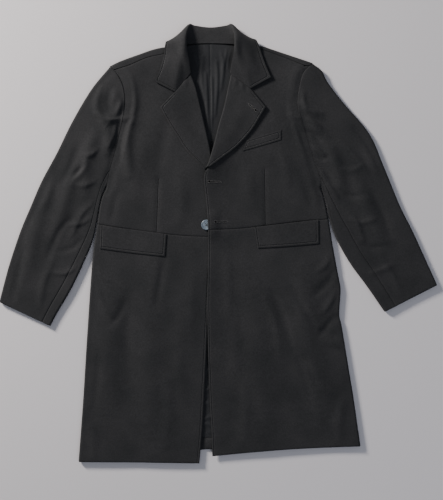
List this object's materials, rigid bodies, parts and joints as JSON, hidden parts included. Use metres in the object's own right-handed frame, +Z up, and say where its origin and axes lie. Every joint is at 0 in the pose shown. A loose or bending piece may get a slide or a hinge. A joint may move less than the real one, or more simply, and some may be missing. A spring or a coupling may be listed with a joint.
{
  "type": "overcoat",
  "caption": "Long single-breasted wool overcoat laid flat on its back, unbuttoned, with notch lapels, turned-down collar, waist seam, flap pockets, chest welt and full-length sleeves.",
  "frame": {"origin": "centre of the bounding box, on the surface that the coat lies on", "axes": "+X towards the wearer's left sleeve, +Y from hem to collar, +Z up from the surface, out of the coat's front"},
  "size_m": [1.0566, 1.0595, 0.0279],
  "materials": {
    "wool": "near-black wool twill, matt with a soft nap",
    "lining": "black lining satin, softly shiny",
    "button": "grey-blue resin that imitates horn, satin polish"
  },
  "bodies": {
    "root": {"back_right": "wool", "back_left": "wool", "lining_right": "lining", "lining_left": "lining", "front_right": "wool", "front_left": "wool", "skirt_right": "wool", "skirt_left": "wool", "top_sleeve_right": "wool", "top_sleeve_left": "wool", "under_sleeve_right": "wool", "under_sleeve_left": "wool", "lapel_right": "wool", "lapel_left": "wool", "flap_right": "wool", "flap_left": "wool", "chest_welt": "wool", "collar": "wool", "button": "button"}
  },
  "joints": []
}
